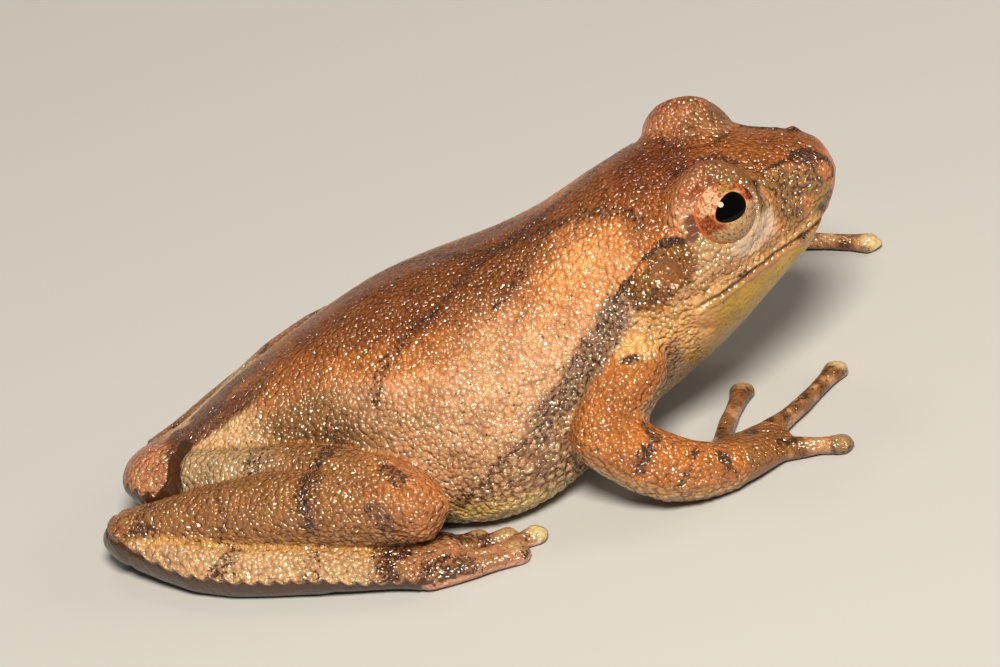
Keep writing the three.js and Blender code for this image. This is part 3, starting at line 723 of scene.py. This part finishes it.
# Dark streaks: the line, how far off it the streak starts and ends to fade, how thick its flecks
# are and how strong its brown shade is.
DARK_STREAKS = [
    (ARM_FRONT, 0.15, 0.5, 0.5, 0.3),
    (X_MARK, 0.05, 0.45, 0.55, 0.7),
    (SIDE_STREAK, 0.0, 0.4, 0.5, 0.45),
    (EYE_BAR, 0.25, 0.9, 0.25, 0.5),
    (LID_CREASE, 0.05, 0.3, 0.7, 0.5),
    (CANTHAL_LINE, 0.04, 0.18, 0.95, 1.0),
    (NOSE_EDGE, 0.08, 0.22, 0.9, 1.0),
    (NOSE_PATCH, 0.35, 0.6, 0.65, 0.9),
    (LORE, 0.4, 0.75, 0.55, 0.3),
    (LOWER_LORE, 0.25, 0.5, 0.55, 0.3),
    (EAR_LINE, 0.04, 0.22, 0.95, 0.95),
    (EAR_PATCH, 0.5, 1.0, 0.22, 0.15),
    (EAR_SPECKS, 0.1, 0.5, 0.6, 0.35),
    (FLANK_LINE, 0.3, 0.8, 0.55, 0.4),
    (SHOULDER_SPOT, 0.1, 0.22, 0.95, 1.0),
    (ARM_BAR, 0.12, 0.38, 0.8, 0.7),
    (WRIST_LINE, 0.02, 0.2, 0.7, 0.5),
    (HAND_BAR, 0.04, 0.18, 0.9, 0.8),
    (KNEE_BAR, 0.2, 0.5, 0.7, 0.6),
    (LOWER_KNEE_BAR, 0.2, 0.5, 0.65, 0.5),
]
# Dark bars across the limbs: the segment, its first and last joint, how far along it the bar
# lies, the bar's width, and again its flecks and its shade.
DARK_BARS = [
    ("shank", "knee", "heel", 0.285, 0.42, 0.7, 0.85),
    ("shank", "knee", "heel", 0.9, 0.4, 0.6, 0.5),
    ("shank", "knee", "heel", 0.62, 0.2, 0.5, 0.5),
    ("thigh", "knee", "hip", 0.38, 0.4, 0.8, 0.75),
    ("thigh", "knee", "hip", 0.68, 0.35, 0.6, 0.5),
    ("tarsus", "heel", "ankle", 0.56, 0.45, 0.62, 0.55),
    ("tarsus", "heel", "ankle", 0.98, 0.4, 0.45, 0.35),
    ("foot", "heel", "ankle", 0.98, 0.4, 0.45, 0.35),
]
# Spots along the fingers, each by its share of the way from root to tip.
FINGER_SPOTS = {"finger_3": (-0.25, 0.0, 0.2, 0.42), "finger_4": (-0.1, 0.08)}
PALE_PADS = ("toe_4", "finger_3")
for side, word in SIDES:
    leg_ahead = 0 if side < 0 else LEFT_LEG_AHEAD
    here = side_of == side
    paint("over_shoulder", 0.9 * patch(side, ABOVE_SHOULDER, 0.2, 3.4) * (trunk + head))
    paint("mid_flank", 0.8 * patch(side, MID_FLANK, 0.6, 4.2) * trunk)
    paint("rear_streak", streak(side, REAR_STREAK, 0.25, 0.55))
    # A dark brown band along the back's far ridge at the rear: partly the frog's own brown, partly painted
    # shade where the back turns away from the light.
    paint("midline_brown_and_shade", streak(side, BACK_MIDLINE, 0.25, 0.5))
    paint("lid", 0.8 * ball * here)
    paint("lid_top", ball * here * ease(10.1, 10.7, up))
    paint("lid_front", ball * here * ease(5.6, 4.8, behind) * ease(9.6, 10.2, up))
    # The lower lid's olive grey, partly painted shade under the bulging eyeball.
    paint("lower_lid_and_shade", ball * here * ease(9.5, 9.0, up))
    paint("cheek", streak(side, CHEEK, 0.5, 1.1))
    paint("lip", streak(side, LIP, 0.4, 0.9) * 0.9)
    paint("lip_edge", streak(side, LIP, 0.05, 0.3) * 0.9)
    # A darker line along the mouth: painted shade in the mouth's groove.
    paint("mouth", streak(side, MOUTH, 0.02, 0.14))
    paint("pale_lore", streak(side, PALE_LORE, 0.25, 0.85) * 0.9)
    paint("snout_front", streak(side, SNOUT_FRONT, 0.3, 0.6))
    paint("before_eye", streak(side, BEFORE_EYE, 0.2, 0.45))
    paint("lore", np.maximum(streak(side, LORE, 0.5, 0.8), streak(side, LOWER_LORE, 0.5, 0.9)))
    paint("ear_patch", streak(side, EAR_PATCH, 0.7, 1.0))
    paint("shoulder", np.maximum(patch(side, BELOW_EAR, 0.7, 1.7), streak(side, SHOULDER, 0.5, 1.0)))
    paint("arm_front", streak(side, ARM_FRONT, 0.3, 0.6))
    paint("eye_corner", streak(side, EYE_CORNER, 0.28, 0.42))
    for spot in FRONT_CORNER:
        paint("front_corner", patch(side, spot, 0.1, 0.28))
    paint("flank_line", streak(side, FLANK_LINE, 0.4, 0.9))
    drum = distance_to(place(side, *DRUM))
    paint("eardrum", 1 - ease(0.56, 0.68, drum))
    for line, inner, outer, dark, shade in DARK_STREAKS:
        mark(streak(side, line, inner, outer), dark, shade)
    for segment, start, end, where, width, dark, shade in DARK_BARS:
        mark(bar(side, word, segment, start, end, where, width), dark, shade)
    belly_rim = belly * np.exp(-(((up - belly_edge + 0.3) / 0.35) ** 2)) * ease(10.4, 11.4, behind)
    mark(belly_rim * here * ease(17.8, 17.0, behind), 0.5, 0.5)
    mark(np.exp(-(((drum - 0.72) / 0.08) ** 2)), 0.3, 0.25)
    mark(flank * rear * here * ease(0.45, 0.7, drift) * ease(2.5, 3.5, up), 0.5, 0.25)
    for spot in LIP_SPOTS:
        mark(patch(side, spot, 0.12, 0.28), 0.7, 0.9)
    for digit, shares in FINGER_SPOTS.items():
        for share in shares:
            spot = roots[side, digit] + share * (tips[side, digit] - roots[side, digit])
            away = distance_to(on_skin(spot[None] + [0, 0, 0.6])[0])
            mark(1 - ease(0.14, 0.36, away + 0.5 * (ragged - 0.5)), 0.9, 0.9)
    toe_marks = toes * ease(0.35, 0.6, wander(0.8, 0.1)) * ease(-0.2, 0.2, facing_up)
    mark(here * toe_marks, 0.8, 0.85)
    mark(here * fingers * ease(0.5, 0.66, wander(0.45, 0.2)), 0.6, 0.6)
    for _, digit in DIGITS:
        pad = distance_to(tips[side, digit])
        pale = 1.0 if digit in PALE_PADS else 0.35
        paint("pad", pale * (1 - ease(0.35, 0.6, pad)))
        flecks *= ease(0.25, 0.55, pad)
        brown *= ease(0.25, 0.55, pad)
    paint("amber_groove", streak(side, AMBER_GROOVE, 0.15, 0.34, leg_ahead) * 0.9)
# The hidden faces' own dark brown, deepened with painted shade.
paint("hidden_brown_and_shade", sleek_and_shaded)
brown *= 1 - sleek_and_shaded
flecks *= 1 - sleek_and_shaded


def keep(mesh, name, values, kind="FLOAT", key="value"):
    """Stores values with a mesh's points, where its material reads them."""
    layer = mesh.attributes.new(name, kind, "POINT")
    layer.data.foreach_set(key, values.astype(np.float32).ravel())


keep(skin.data, "tint", np.hstack([tint, np.ones((len(tint), 1))]), "FLOAT_COLOR", "color")
pebble = np.where(cobbled > 0.5, cobble, 0.4 * grain + 0.3)
kept_values = {"flecks": flecks, "brown": brown, "granular": granular, "pebble": pebble, "cobbled": cobbled}
for name, values in kept_values.items():
    keep(skin.data, name, values)

DARK_MARK = (*linear(54, 33, 20), 1)
# Shades that the colour under them is multiplied by.
BROWN_SHADE, GROOVE_SHADE = (0.4, 0.32, 0.27, 1), (0.5, 0.42, 0.38, 1)
DULL_CLOUD, BRIGHT_CLOUD = (0.82, 0.78, 0.74, 1), (1.14, 1.13, 1.12, 1)
# Painted shade at the foot of each fine grain and a painted highlight on its top, both multiplied into the
# colour.
GRAIN_FOOT_SHADE, GRAIN_TOP_HIGHLIGHT = (0.88, 0.85, 0.82, 1), (1.06, 1.06, 1.05, 1)
PALE_TOP = (*linear(206, 168, 128), 1)


def new_material(name, **constants):
    """A new material, with its tree of nodes and its shader, which is given these constants."""
    made = bpy.data.materials.new(name)
    made.use_nodes = True
    own_shader = made.node_tree.nodes["Principled BSDF"]
    for key, value in constants.items():
        own_shader.inputs[key.replace("_", " ")].default_value = value
    return made, made.node_tree, own_shader


wet_skin, tree, shader = new_material(
    "wet_skin",
    Specular_IOR_Level=1.0,
    Subsurface_Weight=0.08,
    Subsurface_Radius=(1.0, 0.45, 0.2),
    Subsurface_Scale=0.0004,
)


def shader_node(kind, settings=None, **sockets):
    """Adds a node to the tree of the material in hand. Each socket, by its name or as _ and its
    number, is given a value or another node's output."""
    made = tree.nodes.new("ShaderNode" + kind)
    for key, value in (settings or {}).items():
        setattr(made, key, value)
    for key, value in sockets.items():
        socket = made.inputs[int(key[1:]) if key[0] == "_" else key.replace("_", " ")]
        if isinstance(value, bpy.types.NodeSocket):
            tree.links.new(value, socket)
        else:
            socket.default_value = value
    return made


def kept(name, output="Fac"):
    """A value that is stored with the points."""
    return shader_node("Attribute", {"attribute_name": name}).outputs[output]


def sum_of(operation, first, second, third=0.0):
    """The result of a sum with these values."""
    return shader_node("Math", {"operation": operation}, _0=first, _1=second, _2=third).outputs[0]


def product(first, second):
    """One value times another."""
    return sum_of("MULTIPLY", first, second)


def noise(scale, detail, roughness=0.5, output="Fac"):
    """A random value, or colour, that changes over the object."""
    where = shader_node("TexCoord").outputs["Object"]
    sockets = {"Vector": where, "Scale": scale, "Detail": detail, "Roughness": roughness}
    return shader_node("TexNoise", **sockets).outputs[output]


def ramp(value, low, high, start=0.0, end=1.0):
    """A value eased from one range into another."""
    ranges = {"From_Min": low, "From_Max": high, "To_Min": start, "To_Max": end}
    eased = {"interpolation_type": "SMOOTHSTEP"}
    return shader_node("MapRange", eased, Value=value, **ranges).outputs["Result"]


def blend(kind, share, first, second):
    """The second colour laid over the first, by that share."""
    colours = {"data_type": "RGBA", "blend_type": kind}
    return shader_node("Mix", colours, _0=share, _6=first, _7=second).outputs[2]


# How far out of line and how high the fine grains are, in metres.
WOBBLE, GRAIN_HEIGHT = 0.00015, 0.000052
own_place = shader_node("TexCoord").outputs["Object"]
clouds = noise(850, 3.0)
specks = noise(6500, 2.0)
wobble = noise(4500, 1.0, output="Color")
add_product = {"operation": "MULTIPLY_ADD"}
shifted = shader_node("VectorMath", add_product, _0=wobble, _1=(WOBBLE,) * 3, _2=own_place).outputs[0]
fine_grain = shader_node("TexVoronoi", Vector=shifted, Scale=5200).outputs["Distance"]
fine_height = sum_of("MULTIPLY_ADD", product(fine_grain, fine_grain), -2.6, 1.0)
granular_share = kept("granular")

mottling = blend("MIX", ramp(clouds, 0.3, 0.7), DULL_CLOUD, BRIGHT_CLOUD)
colour = blend("MULTIPLY", 1.0, kept("tint", "Color"), mottling)
# Painted shade and highlight that follow the fine grains' relief: darker at each grain's foot, lighter on its
# top.
between = blend("MIX", fine_height, GRAIN_FOOT_SHADE, GRAIN_TOP_HIGHLIGHT)
colour = blend("MULTIPLY", granular_share, colour, between)
pale_share = product(kept("cobbled"), ramp(kept("pebble"), 0.25, 0.75, 0, 0.5))
colour = blend("MIX", pale_share, colour, PALE_TOP)
groove = product(ramp(kept("cobbled"), 0, 1, 0.15, 0.3), ramp(kept("pebble"), 0.35, 0.1))
colour = blend("MULTIPLY", groove, colour, GROOVE_SHADE)
soft_brown = product(kept("brown"), ramp(clouds, 0.35, 0.6, 0.45, 1.0))
colour = blend("MULTIPLY", soft_brown, colour, BROWN_SHADE)
thick = sum_of("MULTIPLY_ADD", kept("flecks"), 0.32, specks)
colour = blend("MIX", ramp(thick, 0.67, 0.76, 0, 0.9), colour, DARK_MARK)
tree.links.new(colour, shader.inputs["Base Color"])

relief = product(fine_height, ramp(granular_share, 0, 1, 0.2, 1))
relief = sum_of("MULTIPLY_ADD", specks, 0.35, relief)
bump = shader_node("Bump", Height=relief, Strength=1.0, Distance=GRAIN_HEIGHT)
tree.links.new(bump.outputs["Normal"], shader.inputs["Normal"])
tree.links.new(ramp(granular_share, 0.0, 1.0, 0.28, 0.17), shader.inputs["Roughness"])
skin.data.materials.append(wet_skin)
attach(skin, "root")
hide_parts(*[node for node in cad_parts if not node.endswith("_eye")])

# ---- eyes ------------------------------------------------------------------------------------
# Each eyeball is a ball under a clear wet cornea. The iris is coppery gold above and speckled
# greenish gold below, with a dark red streak behind the pupil, a long oval that slopes a little.
PUPIL_PLACE = (0.83, -0.26, 0.485)
PUPIL_LONG, PUPIL_HIGH = 0.68, 0.49
PUPIL_SLOPE = math.radians(26)
CORNEA_RISE, CORNEA_REACH = 0.05, 50
EYE_RINGS, EYE_SPOKES = 60, 96

IRIS_COLOURS = dict(
    lower=(164, 134, 96), upper=(198, 154, 124), upper_front=(140, 108, 60), front=(170, 80, 44),
    front_end=(78, 28, 16), front_low=(158, 118, 88), rear_streak=(126, 62, 34), veins=(132, 52, 28),
    pale_flecks=(214, 168, 116), outer_rim=(196, 96, 40), pupil_ring=(190, 140, 82), edge=(44, 24, 14),
)
DARK_FLECKS = (0.3, 0.2, 0.12, 1)
PUPIL_BLACK = (0.001, 0.001, 0.001, 1)

iris_and_cornea, tree, shader = new_material(
    "iris_and_cornea",
    Roughness=0.3,
    Specular_IOR_Level=0.0,
    Coat_Weight=1.0,
    Coat_Roughness=0.02,
    Coat_IOR=1.25,
)
ahead, above = kept("iris_ahead"), kept("iris_up")
off_pupil, off_middle = kept("off_pupil"), kept("off_middle")
iris_specks = noise(9000, 3.0, 0.7)
threads = noise(4300, 4.0)
wavy = sum_of("SUBTRACT", threads, 0.5)
lift = sum_of("MULTIPLY_ADD", wavy, 0.6, above)


def iris_colour(name):
    """One of the iris's colours, as the light that it gives back."""
    return (*linear(*IRIS_COLOURS[name]), 1)


# Each colour of the iris is laid over those before it, by its share at each place.
streak_height = sum_of("ABSOLUTE", sum_of("ADD", lift, 0.3), 0)
front = product(ramp(ahead, 0.4, 0.75), ramp(lift, 0.0, 0.3))
colour = blend("MIX", ramp(lift, -0.25, 0.15), iris_colour("lower"), iris_colour("upper"))
for name, share in [
    ("upper_front", product(ramp(lift, 0.45, 0.8), ramp(ahead, -0.5, 0.0))),
    ("front", front),
    ("front_end", product(front, ramp(ahead, 0.75, 0.95))),
    ("front_low", product(ramp(ahead, 0.65, 0.9), ramp(lift, 0.1, -0.1))),
    ("rear_streak", product(ramp(ahead, -0.1, -0.4), ramp(streak_height, 0.42, 0.26))),
    ("veins", product(ramp(threads, 0.5, 0.6, 0, 0.75), ramp(lift, -0.1, 0.3))),
]:
    colour = blend("MIX", share, colour, iris_colour(name))
colour = blend("MULTIPLY", ramp(iris_specks, 0.52, 0.6, 0, 0.8), colour, DARK_FLECKS)
for name, share in [
    ("pale_flecks", ramp(iris_specks, 0.42, 0.36, 0, 0.5)),
    ("outer_rim", product(ramp(off_middle, 1.13, 1.16, 0, 0.85), ramp(ahead, 0.5, -0.3))),
    ("pupil_ring", product(ramp(off_pupil, 1.16, 1.03, 0, 0.5), ramp(ahead, 0.6, 0.0, 0.2, 1.0))),
]:
    colour = blend("MIX", share, colour, iris_colour(name))
colour = blend("MIX", ramp(off_pupil, 1.02, 0.98), colour, PUPIL_BLACK)
# Beyond the iris, where the lids meet the eyeball, a near-black ring: painted shade under the lids' rim.
colour = blend("MIX", ramp(off_middle, 1.2, 1.26), colour, iris_colour("edge"))
tree.links.new(colour, shader.inputs["Base Color"])

for side, word in SIDES:
    look = direction(side, *EYE_LOOK)
    fore = np.array([0, -1, 0]) + look[1] * look
    fore /= np.linalg.norm(fore)
    top = np.cross(fore, look) * side
    turns = np.linspace(0, math.pi, EYE_RINGS + 1)[1:-1]
    spokes = np.arange(EYE_SPOKES) * 2 * math.pi / EYE_SPOKES
    ring = np.cos(spokes)[:, None] * fore + np.sin(spokes)[:, None] * top
    rings = [math.cos(turn) * look + math.sin(turn) * ring for turn in turns]
    aims = np.vstack([look[None], *rings, -look[None]])
    off_look = np.arccos(np.clip(aims @ look, -1, 1))
    bulge = CORNEA_RISE * (1 - ease(0, math.radians(CORNEA_REACH), off_look))
    spoke = np.arange(EYE_SPOKES)
    next_spoke = (spoke + 1) % EYE_SPOKES
    starts = 1 + np.arange(len(turns) - 1)[:, None] * EYE_SPOKES
    ahead_edge, rear_edge = starts + spoke, starts + next_spoke
    quads = np.stack([ahead_edge, ahead_edge + EYE_SPOKES, rear_edge + EYE_SPOKES, rear_edge], -1)
    last_point = len(aims) - 1
    last_ring = last_point - EYE_SPOKES
    spoke_pairs = list(zip(spoke.tolist(), next_spoke.tolist()))
    tiles = quads.reshape(-1, 4).tolist()
    tiles += [[0, 1 + near, 1 + far] for near, far in spoke_pairs]
    tiles += [[last_point, last_ring + far, last_ring + near] for near, far in spoke_pairs]
    if side > 0:
        tiles = [corners[::-1] for corners in tiles]
    eye_mesh = bpy.data.meshes.new(f"{word}_eyeball")
    eye_points = place(side, *EYE_PLACE) + aims * (EYE_RADIUS + bulge[:, None])
    eye_mesh.from_pydata((eye_points * MM).tolist(), [], tiles)
    eye_mesh.update()
    eye_mesh.polygons.foreach_set("use_smooth", np.ones(len(eye_mesh.polygons), bool))
    eyeball = placed(f"{word}_eyeball", eye_mesh)
    facing = aims @ look > 0
    pupil = direction(side, *PUPIL_PLACE)
    along_iris, over_iris = aims @ fore * EYE_RADIUS, aims @ top * EYE_RADIUS
    pupil_ahead, pupil_up = (aims - pupil) @ fore * EYE_RADIUS, (aims - pupil) @ top * EYE_RADIUS
    lengthwise = pupil_ahead * math.cos(PUPIL_SLOPE) + pupil_up * math.sin(PUPIL_SLOPE)
    crosswise = pupil_up * math.cos(PUPIL_SLOPE) - pupil_ahead * math.sin(PUPIL_SLOPE)
    pupil_height = PUPIL_HIGH * (1 + 0.2 * np.clip(lengthwise / PUPIL_LONG, -1, 1))
    away = np.hypot(lengthwise / PUPIL_LONG, crosswise / pupil_height)
    keep(eye_mesh, "iris_ahead", along_iris)
    keep(eye_mesh, "iris_up", over_iris)
    keep(eye_mesh, "off_pupil", np.where(facing, away, 3))
    keep(eye_mesh, "off_middle", np.where(facing, np.hypot(along_iris, over_iris), 2))
    eye_mesh.materials.append(iris_and_cornea)
    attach(eyeball, "root")
    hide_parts(f"{word}_eye")

# ---- floor, lights and camera ----------------------------------------------------------------
# A pale matt floor under plain soft studio light. The camera stands to the frog's right, well
# above its back, and leans a little, as if the ground sloped up to the frog's head.
FLOOR_HALF = 0.6
FLOOR_CORNERS = [(-1, -1, 0), (1, -1, 0), (1, 1, 0), (-1, 1, 0)]
floor_mesh = mesh_from("floor", np.array(FLOOR_CORNERS) * FLOOR_HALF, np.array([[0, 1, 2, 3]]))
floor = placed("floor", floor_mesh)
floor_paint, _, _ = new_material("floor_paint", Base_Color=(0.4, 0.41, 0.44, 1), Roughness=0.9)
floor.data.materials.append(floor_paint)

AZIMUTH, ELEVATION, LEAN = math.radians(-91), math.radians(31), math.radians(13.5)
CAMERA_DISTANCE = 0.207
VIEW_CENTRE = Vector((0, 0, 0.005))
VIEW_ASIDE, VIEW_RAISED = 0.000983, -0.000009
FIELD_OF_VIEW = 2 * math.atan(0.09290227)
back = Vector((math.sin(AZIMUTH), -math.cos(AZIMUTH), math.tan(ELEVATION))).normalized()
level = (-back).cross(Vector((0, 0, 1))).normalized()
upright = level.cross(-back)
across = level * math.cos(LEAN) - upright * math.sin(LEAN)
upward = level * math.sin(LEAN) + upright * math.cos(LEAN)
camera = placed("camera", bpy.data.cameras.new("camera"))
camera.data.angle = FIELD_OF_VIEW
camera.data.clip_start = 0.01
stand = VIEW_CENTRE + back * CAMERA_DISTANCE + across * VIEW_ASIDE + upward * VIEW_RAISED
camera.matrix_world = Matrix.Translation(stand) @ Matrix((across, upward, back)).transposed().to_4x4()
bpy.context.scene.camera = camera

LIGHT_WARMTH = (1, 0.9, 0.72)


def soft_light(name, aside, distance, size, power):
    """A round lamp that stands that way from the frog, at that distance, and faces it."""
    lamp = placed(name, bpy.data.lights.new(name, "AREA"))
    lamp.location = VIEW_CENTRE + Vector(aside).normalized() * distance
    lamp.rotation_euler = Vector(aside).to_track_quat("Z", "Y").to_euler()
    lamp.data.shape = "DISK"
    lamp.data.size = size
    lamp.data.energy = power
    lamp.data.color = LIGHT_WARMTH
    return lamp


soft_light("key_light", (-0.6, -0.04, 0.8), 0.3, 0.1, 1.66)
side_light = soft_light("side_light", (0.1, -0.9, 0.5), 0.35, 0.15, 0.24)
side_light.visible_glossy = False
soft_light("top_light", (0.5, 0.05, 0.85), 0.3, 0.08, 0.1)
world = bpy.data.worlds.new("studio")
world.use_nodes = True
world.node_tree.nodes["Background"].inputs["Color"].default_value = (*LIGHT_WARMTH, 1)
world.node_tree.nodes["Background"].inputs["Strength"].default_value = 0.14
bpy.context.scene.world = world
bpy.context.scene.view_settings.view_transform = "Standard"
